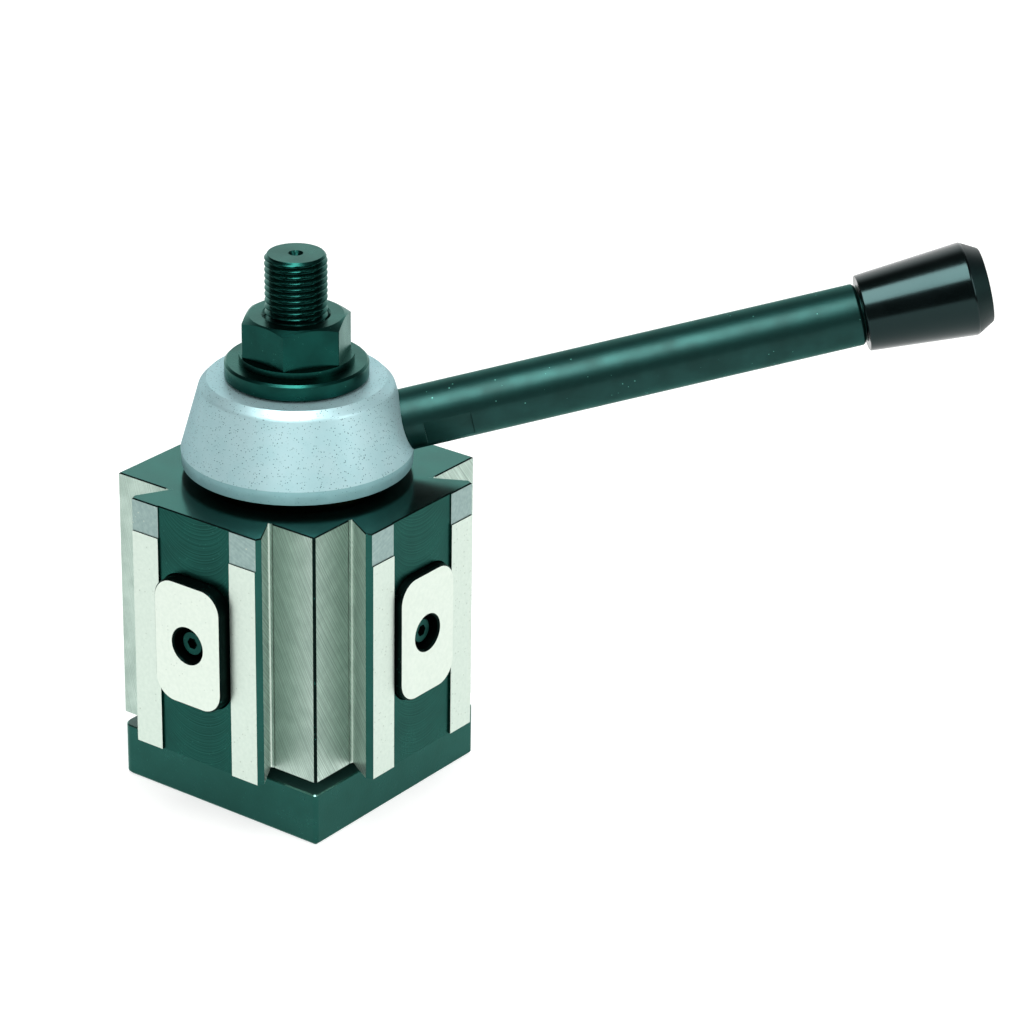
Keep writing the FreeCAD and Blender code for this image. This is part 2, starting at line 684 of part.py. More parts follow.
def make_handle_knob():
    """Ball-ended grip, widest near its free end, moulded round a threaded bush."""
    knob = body("handle_knob")
    bore = "insert_diameter / 2"
    narrow, wide, end = "knob_narrow_diameter / 2", "knob_wide_diameter / 2", "knob_end_diameter / 2"
    knob_end = f"({KNOB_START} + knob_length)"
    bush_end = f"({KNOB_START} + insert_length)"
    shape = turned(knob, "grip", [
        (KNOB_START, bore), (KNOB_START, narrow), (f"{knob_end} - knob_end_taper", wide),
        (knob_end, end), (knob_end, "0"), (bush_end, "0"), (bush_end, bore),
    ], axis_role="X_Axis")

    def rims(spot):
        reach = math.hypot(spot.y, spot.z)
        at_start = near(reach, narrow) and near(spot.x, KNOB_START)
        return at_start or near(reach, end) and near(spot.x, knob_end)

    soften(knob, "rims", "Chamfer", shape, rims, "knob_edge_chamfer")
    set_along_handle(knob)
    return knob


def make_knob_insert():
    """Brass bush in the knob, which goes on the bar's tail."""
    insert = body("knob_insert")
    inner, outer = "handle_tail_diameter / 2 + handle_fit", "insert_diameter / 2"
    bush_end = f"{KNOB_START} + insert_length"
    turned(insert, "bush", [
        (KNOB_START, inner), (KNOB_START, outer), (bush_end, outer), (bush_end, inner),
    ], axis_role="X_Axis")
    set_along_handle(insert)
    return insert


def set_on_face(piece, side):
    """Stand a clamp's piece, drawn on the left face, at its height; the right ones lie further in."""
    if side == "left":
        place(piece, z="pad_centre_height")
    else:
        place(piece, x="-pad_lag", z="pad_centre_height", yaw="90")
    return piece


def make_plunger(side):
    """Plunger: domed nose on the cam, head that the spring presses, stem that carries the pad."""
    plunger = body(f"plunger_{side}")
    head, stem = "plunger_head_diameter / 2", "plunger_stem_diameter / 2"
    nose = "plunger_nose_diameter / 2"
    head_inner = f"({NOSE_TIP} + plunger_nose_length)"
    head_outer = f"({head_inner} + plunger_head_thickness)"
    hole = "screw_diameter / 2 + thread_fit"
    hole_floor = f"({PAD_BACK} - screw_length + pad_thickness - screw_recess_depth - screw_clearance)"
    shape = turned(plunger, "spool", [
        ("0", f"-{NOSE_TIP}"), (nose, f"-{NOSE_TIP}"), (nose, f"-{head_inner}"), (head, f"-{head_inner}"),
        (head, f"-{head_outer}"), (stem, f"-{head_outer}"), (stem, f"-{PAD_BACK}"), (hole, f"-{PAD_BACK}"),
        (hole, f"-{hole_floor}"), ("0", f"-{hole_floor}"),
    ], "XY_Plane", "Y_Axis")

    def nose_rim(spot):
        return near(spot.y, f"-{NOSE_TIP}") and near(math.hypot(spot.x, spot.z), nose)

    soften(plunger, "nose_dome", "Fillet", shape, nose_rim, f"{nose} - nose_flat_radius")
    return set_on_face(plunger, side)


def make_clamp_pad(side):
    """Pad that presses on the tool holder, ground on its face, with a recessed screw hole."""
    pad_body = body(f"clamp_pad_{side}")
    plan = sketch(pad_body, "pad_outline", "XZ_Plane", PAD_BACK)
    rounded_rectangle(plan, "0", "pad_width", "pad_height", "pad_corner_radius")
    plate = pad(pad_body, "plate", plan, "pad_thickness")
    face = f"({PAD_BACK} + pad_thickness)"

    def rim(spot):
        return near(spot.y, f"-{face}")

    soften(pad_body, "face_edge", "Chamfer", plate, rim, "pad_edge_chamfer")
    recess = sketch(pad_body, "recess_outline", "XZ_Plane", face)
    circle(recess, "0", "0", "screw_recess_diameter / 2")
    recess_cut = pocket(pad_body, "recess", recess, "screw_recess_depth")
    hole = sketch(pad_body, "hole_outline", "XZ_Plane", face)
    circle(hole, "0", "0", "screw_diameter / 2 + screw_clearance")
    hole_cut = pocket(pad_body, "hole", hole, f"pad_thickness + {OVERCUT}")

    def recess_rim(spot):
        return near(spot.y, f"-{face}") and near(math.hypot(spot.x, spot.z), "screw_recess_diameter / 2")

    soften(pad_body, "recess_edge", "Chamfer", hole_cut, recess_rim, "pad_edge_chamfer")
    return set_on_face(pad_body, side)


def make_pad_screw(side):
    """Low-head socket screw that holds a pad on its plunger."""
    screw = body(f"pad_screw_{side}")
    seat = f"({PAD_BACK} + pad_thickness - screw_recess_depth)"
    head_top = f"({seat} + screw_head_height)"
    shank, head = "screw_diameter / 2", "screw_head_diameter / 2"
    turned(screw, "screw", [
        ("0", f"-{head_top}"), (f"{head} - screw_head_chamfer", f"-{head_top}"),
        (head, f"screw_head_chamfer - {head_top}"), (head, f"-{seat}"), (shank, f"-{seat}"),
        (shank, f"screw_length - {seat}"), ("0", f"screw_length - {seat}"),
    ], "XY_Plane", "Y_Axis")
    socket = sketch(screw, "socket_outline", "XZ_Plane", head_top)
    hexagon(socket, "screw_socket_across")
    pocket(screw, "socket", socket, "screw_socket_depth")
    return set_on_face(screw, side)


def make_return_spring(side):
    """Square-wire coil spring between the block and the plunger's head; the right one is longer."""
    spring = body(f"return_spring_{side}")
    length = "spring_gap" if side == "left" else "(spring_gap + pad_lag)"
    start = "(spring_seat_reach - spring_clearance - spring_wire / 2)"
    section = sketch(spring, "wire_section")
    rectangle(section,
              "(spring_mean_diameter - spring_wire) / 2", "(spring_mean_diameter + spring_wire) / 2",
              f"-{start} - spring_wire / 2", f"spring_wire / 2 - {start}")
    coil = spring.newObject("PartDesign::AdditiveHelix", "coil")
    coil.Profile = section
    coil.ReferenceAxis = (plane(spring, "Y_Axis"), [""])
    coil.Mode = "pitch-turns-angle"
    rise = f"{length} - 2 * spring_clearance - spring_wire"
    bind(coil, Pitch=f"({rise}) / spring_turns", Turns="spring_turns")
    place(spring, z="pad_centre_height", yaw="0" if side == "left" else "90")
    return spring


def make_stop_pin():
    """Pin in the block's top that stops the handle at both ends of its travel."""
    pin = cylinder("stop_pin", "stop_pin_diameter / 2", "stop_pin_length")
    pin.Label = "stop_pin"
    place(pin, "stop_pin_radius * cos(stop_pin_angle)", "stop_pin_radius * sin(stop_pin_angle)",
          "body_height + stop_pin_rise - stop_pin_length")
    return pin


def make_clamp_stud():
    """Threaded stud, drawn at its outside diameter, with a centre hole in its top."""
    stud = body("clamp_stud")
    radius, hole = "stud_diameter / 2", "stud_centre_diameter / 2"
    turned(stud, "bar", [
        ("0", "stud_foot_gap"), (f"{radius} - stud_chamfer", "stud_foot_gap"),
        (radius, "stud_foot_gap + stud_chamfer"), (radius, f"{STUD_TOP} - stud_chamfer"),
        (f"{radius} - stud_chamfer", STUD_TOP), (hole, STUD_TOP),
        ("0", f"{STUD_TOP} - {hole} / tan(stud_centre_angle / 2)"),
    ])
    return stud


def make_stud_nut():
    """Hexagon nut with a round collar under it and a chamfered top."""
    nut = body("stud_nut")
    collar = sketch(nut, "collar_plan", offset=WASHER_TOP)
    circle(collar, "0", "0", "nut_collar_diameter / 2")
    pad(nut, "collar", collar, "nut_collar_height")
    plan = sketch(nut, "hexagon_plan", offset=WASHER_TOP)
    hexagon(plan, "nut_across_flats")
    pad(nut, "hexagon", plan, "nut_height")
    top_radius = "nut_chamfer_diameter / 2"
    beyond = "nut_across_flats"
    drop = f"({beyond} - {top_radius}) * tan(nut_chamfer_angle)"
    corner = sketch(nut, "corner_profile", "XZ_Plane")
    outline(corner, [
        (top_radius, NUT_TOP), (beyond, f"{NUT_TOP} - {drop}"), (beyond, f"{NUT_TOP} + {OVERCUT}"),
        (top_radius, f"{NUT_TOP} + {OVERCUT}"),
    ])
    groove = nut.newObject("PartDesign::Groove", "corners")
    groove.Profile = corner
    groove.ReferenceAxis = (plane(nut, "Z_Axis"), [""])
    groove.Angle = 360
    bore = sketch(nut, "bore_plan", offset=WASHER_TOP)
    circle(bore, "0", "0", "stud_diameter / 2 + thread_fit")
    bore_cut = pocket(nut, "bore", bore, "nut_height", reverse=True)

    def mouth(spot):
        return near(spot.z, NUT_TOP) and near(math.hypot(spot.x, spot.y), "stud_diameter / 2 + thread_fit")

    soften(nut, "mouth", "Chamfer", bore_cut, mouth, "nut_countersink")
    place(nut, yaw="nut_turn")
    return nut


def make_pieces():
    """Every separate piece of the post."""
    pieces = [make_post_body(), make_center_sleeve(), make_stop_pin()]
    pieces.append(ring("lower_thrust_washer", CAM_BORE_RADIUS, "lower_washer_diameter / 2",
                       "cavity_floor", "lower_washer_thickness"))
    pieces.append(ring("upper_thrust_washer", "cavity_diameter / 2", "upper_washer_diameter / 2",
                       "body_height", "hub_gap"))
    pieces.append(ring("stud_washer", STUD_BORE_RADIUS, "washer_diameter / 2",
                       SLEEVE_TOP, "washer_thickness", "washer_chamfer"))
    pins = [make_dowel(number) for number in (1, 2, 3)]
    pin_group = doc.addObject("Part::Compound", "dowel_holes")
    pin_group.Links = pins
    pieces += pins
    pieces += [make_cam_sleeve(pin_group), make_hub(pin_group), make_seal_ring()]
    pieces += [make_handle_bar(), make_handle_knob(), make_knob_insert()]
    pieces += [make_clamp_stud(), make_stud_nut()]
    for side in ("left", "right"):
        pieces += [make_plunger(side), make_clamp_pad(side), make_pad_screw(side),
                   make_return_spring(side)]
    return pieces


def check(pieces):
    """Stop if a feature failed, a cut removed nothing, or a piece is not a valid solid."""
    for feature in doc.Objects:
        if "Invalid" in feature.State or "Error" in feature.State:
            raise RuntimeError(f"{feature.Name} failed")
        if feature.TypeId in ("PartDesign::Pocket", "PartDesign::Groove"):
            if feature.Shape.Volume > feature.BaseFeature.Shape.Volume - 0.001:
                raise RuntimeError(f"{feature.Name} cuts nothing")
    for piece in pieces:
        if piece.Shape.isNull() or not piece.Shape.isValid() or not piece.Shape.Solids:
            raise RuntimeError(f"{piece.Label} is not a valid solid")


post_pieces = make_pieces()
doc.recompute()
check(post_pieces)
os.makedirs("parts", exist_ok=True)
for piece in post_pieces:
    piece.Shape.exportStep(f"parts/{piece.Label}.step")
    print(piece.Label, round(piece.Shape.Volume), "mm3")
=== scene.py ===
import math

import bmesh
import bpy
from mathutils import Matrix, Vector


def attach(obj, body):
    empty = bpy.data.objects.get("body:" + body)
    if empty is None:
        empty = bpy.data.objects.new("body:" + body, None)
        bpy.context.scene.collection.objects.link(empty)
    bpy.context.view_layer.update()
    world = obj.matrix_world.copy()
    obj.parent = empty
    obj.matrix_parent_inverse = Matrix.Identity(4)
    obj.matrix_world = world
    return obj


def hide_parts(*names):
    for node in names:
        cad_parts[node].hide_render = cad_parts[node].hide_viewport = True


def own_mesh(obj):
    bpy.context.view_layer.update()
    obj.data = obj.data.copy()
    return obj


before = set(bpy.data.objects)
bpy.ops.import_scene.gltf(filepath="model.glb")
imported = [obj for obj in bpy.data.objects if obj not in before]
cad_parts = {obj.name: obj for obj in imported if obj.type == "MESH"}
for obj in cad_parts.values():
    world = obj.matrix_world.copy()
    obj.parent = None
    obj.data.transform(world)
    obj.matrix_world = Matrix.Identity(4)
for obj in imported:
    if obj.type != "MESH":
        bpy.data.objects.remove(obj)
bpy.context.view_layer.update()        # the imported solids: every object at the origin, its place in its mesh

mm = 0.001               # all sizes below are in millimetres
print("stage 1: frame loaded")


# small helpers for colours, nodes and meshes

def linear(hexColour):
    channels = [int(hexColour[start:start + 2], 16) / 255 for start in (1, 3, 5)]
    return tuple(c / 12.92 if c <= 0.04045 else ((c + 0.055) / 1.055) ** 2.4 for c in channels) + (1.0,)


def add(tree, kind, inputs=None, **settings):
    node = tree.nodes.new(kind)
    for name, value in settings.items():
        setattr(node, name, value)
    for socket, value in (inputs or {}).items():
        if isinstance(value, bpy.types.NodeSocket):
            tree.links.new(value, node.inputs[socket])
        else:
            node.inputs[socket].default_value = value
    return node


def ramp(tree, value, start, end, low=0.0, high=1.0, **settings):
    # Turns start..end into low..high and holds both ends.
    return add(tree, "ShaderNodeMapRange", {"Value": value, "From Min": start, "From Max": end,
                                            "To Min": low, "To Max": high}, **settings).outputs[0]


def blend(tree, share, first, second):
    # Sockets 0, 6 and 7 of a Mix node are its factor and its two colours.
    return add(tree, "ShaderNodeMix", {0: share, 6: first, 7: second}, data_type="RGBA").outputs[2]


# materials

# Noise keeps to the middle of 0 to 1, so these parts of it are spread over the whole effect.
noiseSpan = {"tint": (0.35, 0.65), "rough": (0.3, 0.7), "marks": (0.4, 0.62)}


def sweepMarks(tree, place, marks):
    # Arcs that a cutter leaves as it is fed up a face: each lies one feed above the last. The left dovetail looks
    # along -Y and the right one along +X, so X + Y runs across either of them.
    apart = add(tree, "ShaderNodeSeparateXYZ", {0: place})
    across = add(tree, "ShaderNodeMath", {0: apart.outputs["X"], 1: apart.outputs["Y"]})
    if marks.get("bothWays"):
        across = add(tree, "ShaderNodeMath", {0: across.outputs[0]}, operation="ABSOLUTE")
    aside = add(tree, "ShaderNodeMath", {0: across.outputs[0], 1: marks["centre"]}, operation="SUBTRACT")
    square = add(tree, "ShaderNodeMath", {0: aside.outputs[0], 1: 2.0}, operation="POWER")
    rest = add(tree, "ShaderNodeMath", {0: marks["radius"] ** 2, 1: square.outputs[0]}, operation="SUBTRACT")
    rise = add(tree, "ShaderNodeMath", {0: rest.outputs[0]}, operation="SQRT")
    along = add(tree, "ShaderNodeMath", {0: apart.outputs["Z"], 1: rise.outputs[0]})
    streaks = add(tree, "ShaderNodeTexNoise", {"W": along.outputs[0], "Scale": 1 / marks["feed"], "Detail": 2.0,
                                              "Roughness": 0.7}, noise_dimensions="1D")
    return streaks.outputs[0]


def finish(name, look):
    material = bpy.data.materials.new(name)
    material.use_nodes = True
    tree = material.node_tree
    tree.nodes.clear()
    spot = add(tree, "ShaderNodeTexCoord").outputs["Object"]
    place = add(tree, "ShaderNodeVectorMath", {0: spot, "Scale": 1 / mm}, operation="SCALE").outputs[0]
    cloud = add(tree, "ShaderNodeTexNoise", {"Vector": place, "Scale": 1 / look["mottle"], "Detail": 3.0}).outputs[0]
    colour = blend(tree, ramp(tree, cloud, *noiseSpan["tint"]), linear(look["colour"]), linear(look["tint"]))
    height = add(tree, "ShaderNodeTexNoise", {"Vector": place, "Scale": 1 / look["grain"], "Detail": 2.0,
                                              "Roughness": 0.6}).outputs[0]
    if "marks" in look:
        marks = look["marks"]
        streaks = sweepMarks(tree, place, marks)
        tone = ramp(tree, streaks, *noiseSpan["marks"], high=marks["tone"])
        colour = blend(tree, tone, colour, linear(marks["colour"]))
        height = add(tree, "ShaderNodeMath", {0: streaks, 1: marks["depth"] / look["grainDepth"],
                                              2: height}, operation="MULTIPLY_ADD").outputs[0]
    if "speckColour" in look:
        # Round specks: each cell of the pattern holds one, and its random number gives the speck's size.
        cells = add(tree, "ShaderNodeTexVoronoi", {"Vector": place, "Scale": 1 / look["speck"]})
        chance = add(tree, "ShaderNodeSeparateXYZ", {0: cells.outputs["Color"]})
        reach = ramp(tree, chance.outputs[0], look["speckFrom"], 1.0, high=look["speckReach"])
        inside = add(tree, "ShaderNodeMath", {0: cells.outputs["Distance"], 1: reach}, operation="LESS_THAN")
        colour = blend(tree, inside.outputs[0], colour, linear(look["speckColour"]))
    bump = add(tree, "ShaderNodeBump", {"Height": height, "Distance": look["grainDepth"] * mm, "Strength": 1.0})
    shader = add(tree, "ShaderNodeBsdfPrincipled", {
        "Base Color": colour, "Roughness": ramp(tree, cloud, *noiseSpan["rough"], *look["rough"]),
        "Metallic": look["metallic"], "Coat Weight": look.get("coat", 0.0),
        "Coat Roughness": look.get("coatRough", 0.3), "Specular IOR Level": look.get("gloss", 0.5),
        "Specular Tint": linear(look.get("glossColour", "#ffffff")), "Normal": bump.outputs[0]})
    add(tree, "ShaderNodeOutputMaterial", {"Surface": shader.outputs[0]})
    return material


# In each finish: mottle, grain, speck and feed are pattern sizes and depths are heights, all in mm. A speck shows
# where a cell's random number is above speckFrom, and speckReach is its widest radius in cells.

# Black oxide on milled steel: a dark blue-green skin under a thin film of oil, which keeps the steel's gloss.
blackOxide = {"colour": "#214f48", "tint": "#1f4b44", "mottle": 7.0, "grain": 0.5, "grainDepth": 0.026,
              "metallic": 1.0, "rough": (0.26, 0.34), "coat": 0.04, "coatRough": 0.3, "glossColour": "#dcf6f0",
              "speckColour": "#265951", "speck": 0.55, "speckFrom": 0.8, "speckReach": 0.3}
# The shoulders are milled and left bright: steep fine arcs from the cutter's edge.
milled = {"colour": "#c6d9cf", "tint": "#b7cbc1", "mottle": 4.0, "grain": 0.35, "grainDepth": 0.006,
          "metallic": 1.0, "rough": (0.44, 0.52),
          "marks": {"radius": 600.0, "centre": 530.0, "feed": 0.6, "depth": 0.007, "tone": 0.5, "colour": "#5a7066"}}
# Surface-ground steel: near white, with a faint cloudy bloom.
ground = {"colour": "#cbd8ce", "tint": "#c5d3c9", "mottle": 0.9, "grain": 0.3, "grainDepth": 0.0015,
          "metallic": 1.0, "rough": (0.33, 0.38), "speckColour": "#aebcb1", "speck": 0.8, "speckFrom": 0.75,
          "speckReach": 0.25}
materials = {
    "blackOxide": finish("black_oxide_steel", blackOxide),
    # The top is polished before it is blackened, so it mirrors the hub.
    "topOxide": finish("black_oxide_polished_top", {**blackOxide, "colour": "#0c4a44", "tint": "#0b443f",
                                                    "rough": (0.13, 0.19), "grainDepth": 0.001, "coat": 0.15}),
    # The channels between the ground strips keep the round marks of a small end mill.
    "channelOxide": finish("black_oxide_milled_channel", {
        **blackOxide, "colour": "#113f38", "tint": "#0f3832",
        "marks": {"radius": 11.0, "centre": 35.5, "bothWays": True, "feed": 0.3, "depth": 0.006, "tone": 0.4,
                  "colour": "#275f57"}}),
    # Unpolished oxide in recesses and along corners: nearly black and without gloss. It is also painted shade: in the
    # slot, on the pads' sides, in the gap behind the knob and as dark lines along the rim and front corner.
    "oxideAndPaintedShade": finish("black_oxide_and_painted_shade", {**blackOxide, "colour": "#0a1816", "tint": "#081311",
                                                    "rough": (0.4, 0.55), "coat": 0.0}),
    # Dust and dried oil on the base's top: greyer, and dull.
    "slotOxide": finish("black_oxide_dusty_slot", {**blackOxide, "colour": "#2b4f48", "tint": "#264741",
                                                   "metallic": 0.3, "rough": (0.4, 0.5)}),
    # Oxide rubbed thin by handling: the steel under it begins to show. Along the base's top edges this lighter oxide
    # is also a painted glint.
    "wornOxideAndPaintedGlint": finish("black_oxide_rubbed_edge_and_painted_glint", {**blackOxide, "colour": "#5f8a80", "tint": "#4f786f"}),
    "milled": finish("milled_bright_steel", milled),
    "ground": finish("ground_bright_steel", ground),
    # The pads are the whitest steel on the post, ground last.
    "padSteel": finish("ground_pad_steel", {**ground, "colour": "#d6e0d6", "tint": "#d1dcd2",
                                            "speckColour": "#bfcbc1"}),
    # The lead-ins at the strips' upper ends are milled a little lower, and look blue-grey.
    "leadIn": finish("ground_lead_in_steel", {**ground, "colour": "#94aaa7", "tint": "#889f9c", "marks": {
        "radius": 60.0, "centre": 0.0, "feed": 0.5, "depth": 0.004, "tone": 0.4, "colour": "#7b918f"}}),
    # Satin chrome on a cast hub: blasted before plating, so it scatters light evenly.
    "satinHub": finish("satin_plated_casting", {
        "colour": "#abcace", "tint": "#a4c6ca", "mottle": 5.0, "grain": 0.4, "grainDepth": 0.034, "metallic": 0.55,
        "rough": (0.42, 0.46), "glossColour": "#4f8086", "speckColour": "#5c7479", "speck": 0.42, "speckFrom": 0.25,
        "speckReach": 0.33}),
    # The band round the hub's foot faces lower, and is painted darker and greener: painted shade on the same plating.
    "hubBandPaintedShade": finish("satin_plated_band_painted_shade", {
        "colour": "#84abae", "tint": "#7ea6a9", "mottle": 5.0, "grain": 0.4, "grainDepth": 0.034, "metallic": 0.45,
        "rough": (0.46, 0.5), "glossColour": "#4f8086", "speckColour": "#5f878c", "speck": 0.42, "speckFrom": 0.55,
        "speckReach": 0.3}),
    # Fasteners are dipped in oil: deeper in colour than the block.
    "glossOxide": finish("black_oxide_oiled_fastener", {**blackOxide, "colour": "#0f3f39", "tint": "#0c3530",
                                                        "rough": (0.26, 0.34), "grainDepth": 0.014, "speckFrom": 0.9}),
    # The bar is drawn and not machined, so its oxide is satin, with a few light specks.
    "barOxide": finish("black_oxide_drawn_bar", {
        **blackOxide, "colour": "#1d3f3c", "tint": "#193734", "rough": (0.42, 0.5), "grainDepth": 0.014, "coat": 0.1,
        "glossColour": "#bce2da", "speckColour": "#4f8a80", "speck": 1.0, "speckFrom": 0.88, "speckReach": 0.2}),
    # Moulded phenolic: black through and through, with a polished skin.
    "phenolic": finish("moulded_black_phenolic", {
        "colour": "#020404", "tint": "#040707", "mottle": 8.0, "grain": 1.2, "grainDepth": 0.002, "metallic": 0.0,
        "rough": (0.17, 0.22), "gloss": 0.34, "glossColour": "#b8f0f0"}),
    # The grip's end is left as moulded, and dull.
    "phenolicEnd": finish("moulded_phenolic_end", {
        "colour": "#020507", "tint": "#030608", "mottle": 8.0, "grain": 0.6, "grainDepth": 0.004, "metallic": 0.0,
        "rough": (0.4, 0.5), "gloss": 0.34, "glossColour": "#90d8d0"}),
    # Turned bronze: brown, and smooth where it runs.
    "bronze": finish("turned_bearing_bronze", {**ground, "colour": "#5c4a2c", "tint": "#524127",
                                               "speckColour": "#43351f"}),
    # Turned brass: a clear yellow.
    "brass": finish("turned_brass", {**ground, "colour": "#c9ad62", "tint": "#bda158", "speckColour": "#9c8444"}),
    # Spring wire, tempered in oil: dark blue-grey.
    "springSteel": finish("oil_tempered_spring_steel", {**ground, "colour": "#6f7a7d", "tint": "#5f6a6d",
                                                        "speckColour": "#454e50"}),
    # Nitrile rubber: matt black.
    "rubber": finish("moulded_nitrile_rubber", {
        "colour": "#17191a", "tint": "#1d2021", "mottle": 3.0, "grain": 0.3, "grainDepth": 0.01, "metallic": 0.0,
        "rough": (0.55, 0.7)}),
}
print("stage 2: materials made")


# pieces that keep a CAD node's form, with its edges broken and its faces finished

meshing = {"mergeWithin": 0.002, "flatWithin": 0.6, "sharpFrom": 30.0}    # mm, degrees, degrees


def broken(form, edge, shortest, widths):
    # Bevels the sharp edges, widest first. Each bevel remakes its neighbours, so edges are looked up again. Only
    # the common width is clamped, because one short edge would clamp all of a wider group. A width goes with the
    # number of its finish.
    cut = form.faces.layers.int.new("cut")
    common = (edge, 0)

    def sharp():
        for line in form.edges:
            if len(line.link_faces) == 2 and line.is_convex \
                    and line.calc_face_angle() > math.radians(meshing["sharpFrom"]) \
                    and not any(face[cut] for face in line.link_faces):
                own = widths(line) if widths else None
                if own or line.calc_length() > shortest * mm:
                    yield line, own or common

    for group in sorted({group for _, group in sharp()}, reverse=True):
        if group[0] > 0:
            lines = [line for line, wanted in sharp() if wanted == group]
            made = bmesh.ops.bevel(form, geom=lines, offset=group[0] * mm, offset_type="OFFSET", segments=1,
                                   affect="EDGES", material=group[1], clamp_overlap=group == common)
            for face in made["faces"]:
                face[cut] = 1
    form.faces.layers.int.remove(form.faces.layers.int["cut"])


def dressed(piece, node, body, finishes, choose=None, edge=0.2, shortest=1.0, widths=None, extra=None):
    # choose picks a face's finish by its number, widths gives an edge its own bevel, and extra adds faces.
    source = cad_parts[node].data
    mesh = bpy.data.meshes.new(piece)
    mesh.from_pydata([v.co for v in source.vertices], [], [tuple(p.vertices) for p in source.polygons])
    form = bmesh.new()
    form.from_mesh(mesh)
    bmesh.ops.remove_doubles(form, verts=form.verts, dist=meshing["mergeWithin"] * mm)
    bmesh.ops.dissolve_limit(form, angle_limit=math.radians(meshing["flatWithin"]), verts=form.verts,
                             edges=form.edges)
    if choose:
        for face in form.faces:
            face.material_index = choose(face.calc_center_median() / mm, face.normal)
    broken(form, edge, shortest, widths)
    if extra:
        extra(form)
    # Bevels leave their faces in an order that changes from run to run, so all go in the order of their corners.
    form.verts.index_update()
    ordered = sorted(form.faces, key=lambda face: sorted(vert.index for vert in face.verts))
    form.faces.sort(key={face: rank for rank, face in enumerate(ordered)}.get)
    form.to_mesh(mesh)
    form.free()
    return settled(piece, mesh, (node,), body, finishes)


def settled(piece, mesh, replaced, body, finishes, smoothTo=25):
    for name in finishes:
        mesh.materials.append(materials[name])
    for face in mesh.polygons:
        face.use_smooth = True
    mesh.set_sharp_from_angle(angle=math.radians(smoothTo))
    thing = bpy.data.objects.new(piece, mesh)
    bpy.context.collection.objects.link(thing)
    weighted = thing.modifiers.new("flat faces stay flat", "WEIGHTED_NORMAL")
    weighted.keep_sharp = True
    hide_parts(*replaced)
    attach(thing, body)
    return thing


# the block and its base

# Reaches are from the stud's axis outward. The edge values are bevel widths, and rimFrom to shoulderTo say where
# they go. slack is how far off a face or an edge may lie and still be taken for the one meant.
block = {"topHeight": 76.0, "slotTop": 16.0, "faceReach": 36.0, "leadInReach": 35.75, "channelReach": 35.5,
         "shoulderReach": 27.2, "flankFrom": 13.5, "flankTo": 18.5, "flankDepth": 1.5, "baseHeight": 12.7,
         "edge": 0.2, "rimEdge": 0.26, "cornerEdge": 0.55, "shoulderEdge": 0.3, "baseEdge": 0.27,
         "rimFrom": 27.0, "reliefFrom": 13.0, "shoulderFrom": 14.0, "shoulderTo": 20.0, "slack": 0.1}
blockFinishes = ["blackOxide", "topOxide", "ground", "leadIn", "channelOxide", "milled", "oxideAndPaintedShade", "wornOxideAndPaintedGlint",
                 "slotOxide"]


def facings(place, normal):
    # For the left and then the right dovetail: how far out, how far across, and how squarely a face looks out.
    return (-place.y, place.x, -normal.y), (place.x, place.y, normal.x)


def blockFace(centre, normal):
    pick = "blackOxide"
    reach, slack = block["shoulderReach"], block["slack"]
    levels = {"ground": block["faceReach"], "leadIn": block["leadInReach"], "channelOxide": block["channelReach"],
              "milled": reach}
    upward, upright = normal.z > 0.9, abs(normal.z) < 0.1
    if upward and centre.z > block["topHeight"] - slack:
        pick = "topOxide"
    elif centre.z > block["slotTop"]:
        for out, across, facing in facings(centre, normal):
            level = [name for name, height in levels.items() if facing > 0.99 and abs(out - height) < slack / 2]
            onFlank = block["flankFrom"] < abs(across) < block["flankTo"] and out > reach - block["flankDepth"]
            if level:
                pick = level[0]
            elif upright and onFlank and (facing < -0.2 or out < reach):
                pick = "milled"
    # The slot's walls under the block are painted near black as shade.
    elif centre.z > block["baseHeight"] + slack and abs(normal.z) < 0.5:
        pick = "oxideAndPaintedShade"
    elif upward:
        pick = "slotOxide"
    return blockFinishes.index(pick)


def blockEdge(line):
    # The bevel's width and finish for an edge of the top rim, front corner, shoulders or base, and otherwise None. The
    # rim's and corner's bevels are painted near black as shade, and the base's are lighter, as wear and a painted
    # glint.
    first, last = (vert.co / mm for vert in line.verts)
    middle = (first + last) / 2
    reach, slack = block["shoulderReach"], block["slack"]
    sides = [(out, abs(across)) for out, across, _ in facings(middle, middle)]
    if min(first.z, last.z) > block["topHeight"] - slack:
        inRelief = any(out < reach - slack / 2 and block["reliefFrom"] < across < block["shoulderTo"]
                       for out, across in sides)
        if inRelief or middle.xy.length < block["rimFrom"]:
            return None
        return block["rimEdge"], blockFinishes.index("oxideAndPaintedShade")
    if abs(middle.x - reach) < slack and abs(middle.y + reach) < slack:
        return block["cornerEdge"], blockFinishes.index("oxideAndPaintedShade")
    if middle.z > block["slotTop"] and any(abs(out - reach) < slack
                                           and block["shoulderFrom"] < across < block["shoulderTo"]
                                           for out, across in sides):
        return block["shoulderEdge"], blockFinishes.index("ground")
    if abs(middle.z - block["baseHeight"]) < slack / 2:
        return block["baseEdge"], blockFinishes.index("wornOxideAndPaintedGlint")
    return None


# halfWidth is across the dovetail at its root. foot and bright are the fillet's reach on the flank and on the
# shoulder, and mouth, depth and slope are the relief's.
root = {"halfWidth": 14.243, "foot": 0.35, "bright": 0.45, "sunk": 0.1, "mouth": 1.0, "depth": 1.3, "slope": 30.0}


